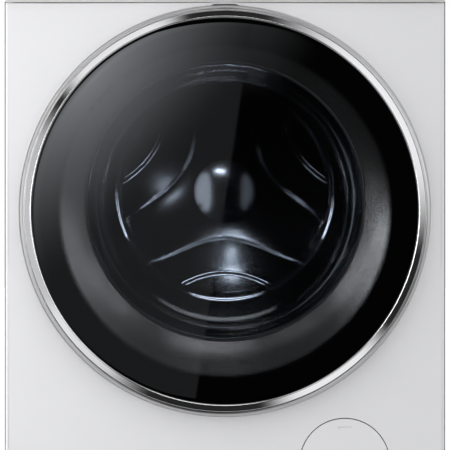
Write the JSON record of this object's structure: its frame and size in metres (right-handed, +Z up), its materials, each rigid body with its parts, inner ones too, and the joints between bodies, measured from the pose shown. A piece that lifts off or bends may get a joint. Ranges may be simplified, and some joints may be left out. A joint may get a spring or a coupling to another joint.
{
  "type": "front load washing machine",
  "caption": "Front load washing machine with a hinged round glass door, a spinning drum in a sprung tub, a dispenser drawer, controls and a filter flap.",
  "frame": {"origin": "on the floor under the middle of the machine's overall box", "axes": "+Z up; the front with the door faces -Y; +X is to the right of someone facing the front"},
  "size_m": [0.6028, 0.66, 0.85],
  "materials": {
    "white_enamel": "smooth white baked enamel on steel sheet, slightly satin",
    "white_plastic": "moulded white plastic, fine satin",
    "worktop_board": "white laminated chipboard",
    "galvanised": "galvanised steel sheet with a faint spangle",
    "chrome": "bright chrome plating, mirror-like",
    "satin_silver": "satin silver finish, fine and even",
    "smoked_glass": "smoked tempered glass with a dark printed border",
    "clear_glass": "clear moulded borosilicate glass",
    "grey_plastic": "mid grey moulded plastic",
    "dark_plastic": "black moulded plastic, fine grain",
    "grey_rubber": "soft grey rubber",
    "black_rubber": "black rubber",
    "stainless": "bright stainless steel, lightly brushed and pressed",
    "tub_plastic": "filled polypropylene, pale grey",
    "concrete": "cast concrete, rough",
    "cast_aluminium": "die-cast aluminium, as cast",
    "motor_metal": "motor body, zinc-plated, with wound copper inside",
    "steel": "zinc-plated steel"
  },
  "bodies": {
    "cabinet": {"left_side_panel": "white_enamel", "right_side_panel": "white_enamel", "rear_panel": "galvanised", "rear_service_cover": "galvanised", "base_pan": "galvanised", "front_panel": "white_enamel", "worktop": "worktop_board", "control_panel": "white_plastic", "control_board_box": "dark_plastic", "dispenser_housing": "white_plastic", "hinge_bracket": "steel", "door_lock": "dark_plastic", "door_seal": "grey_rubber", "spring_crossbar": "galvanised", "suspension_spring_left": "steel", "suspension_spring_right": "steel", "damper_cylinder_left": "dark_plastic", "damper_cylinder_right": "dark_plastic", "pump_housing": "tub_plastic", "sump_hose": "black_rubber", "inlet_valve": "white_plastic", "drain_spigot": "dark_plastic", "cable_gland": "dark_plastic", "foot_front_left": "black_rubber", "foot_front_right": "black_rubber", "foot_rear_left": "black_rubber", "foot_rear_right": "black_rubber"},
    "tub_unit": {"tub_front": "tub_plastic", "tub_rear": "tub_plastic", "heating_element": "stainless", "upper_counterweight": "concrete", "lower_counterweight": "concrete", "motor_housing": "motor_metal", "front_bearing": "steel", "rear_bearing": "steel", "drive_belt": "black_rubber", "damper_rod_left": "steel", "damper_rod_right": "steel"},
    "drum": {"drum_shell": "stainless", "drum_back": "stainless", "drum_lifter_1": "stainless", "drum_lifter_2": "stainless", "drum_lifter_3": "stainless", "drum_spider": "cast_aluminium", "drum_pulley": "cast_aluminium"},
    "motor_rotor": {"motor_pulley": "steel"},
    "door": {"door_chrome_ring": "chrome", "door_outer_frame": "satin_silver", "door_rear_frame": "white_plastic", "door_inner_bezel": "grey_plastic", "door_glass_cover": "smoked_glass", "door_bowl": "clear_glass", "door_hinge_arm": "steel"},
    "door_latch": {"latch_hook": "steel"},
    "drawer": {"drawer_front": "white_plastic", "drawer_tray": "white_plastic"},
    "knob": {"program_knob": "satin_silver"},
    "button": {"power_button": "satin_silver"},
    "flap": {"filter_flap": "white_plastic"},
    "pump_filter": {"pump_filter_cap": "dark_plastic"}
  },
  "joints": [
    {"name": "door_swing", "type": "hinge", "parent": "cabinet", "child": "door", "pos_m": [-0.2605, -0.3055, 0.448], "axis": [0, 0, -1], "range_deg": [0, 115]},
    {"name": "latch_release", "type": "hinge", "parent": "door", "child": "door_latch", "pos_m": [0.25, -0.305, 0.448], "axis": [0, 0, -1], "range_deg": [0, 6], "stiffness_Nm_per_rad": 0.5, "springref_deg": -2.86},
    {"name": "drawer_slide", "type": "slide", "parent": "cabinet", "child": "drawer", "axis": [0, -1, 0], "range_m": [0, 0.17]},
    {"name": "knob_turn", "type": "hinge", "parent": "cabinet", "child": "knob", "pos_m": [0, -0.3, 0.7815], "axis": [0, 1, 0], "continuous": true},
    {"name": "power_press", "type": "slide", "parent": "cabinet", "child": "button", "axis": [0, 1, 0], "range_m": [0, 0.0015], "stiffness_N_per_m": 800, "springref_m": -0.0008},
    {"name": "flap_swing", "type": "hinge", "parent": "cabinet", "child": "flap", "pos_m": [0.163, -0.2896, 0.0495], "axis": [1, 0, 0], "range_deg": [0, 85]},
    {"name": "filter_turn", "type": "hinge", "parent": "cabinet", "child": "pump_filter", "pos_m": [0.163, -0.268, 0.1045], "axis": [0, -1, 0], "range_deg": [0, 120]},
    {"name": "suspension_bounce", "type": "slide", "parent": "cabinet", "child": "tub_unit", "axis": [0, 0, 1], "range_m": [-0.006, 0.006], "stiffness_N_per_m": 20000, "springref_m": 0.01353, "deforming": ["suspension_spring_left", "suspension_spring_right", "sump_hose", "door_seal"]},
    {"name": "drum_spin", "type": "hinge", "parent": "tub_unit", "child": "drum", "pos_m": [0, 0, 0.477], "axis": [0, 1, 0], "continuous": true},
    {"name": "motor_spin", "type": "hinge", "parent": "tub_unit", "child": "motor_rotor", "pos_m": [0, 0, 0.12], "axis": [0, 1, 0], "continuous": true}
  ],
  "couplings": [
    {"joint": "motor_spin", "follows": "drum_spin", "ratio": 12.727}
  ]
}
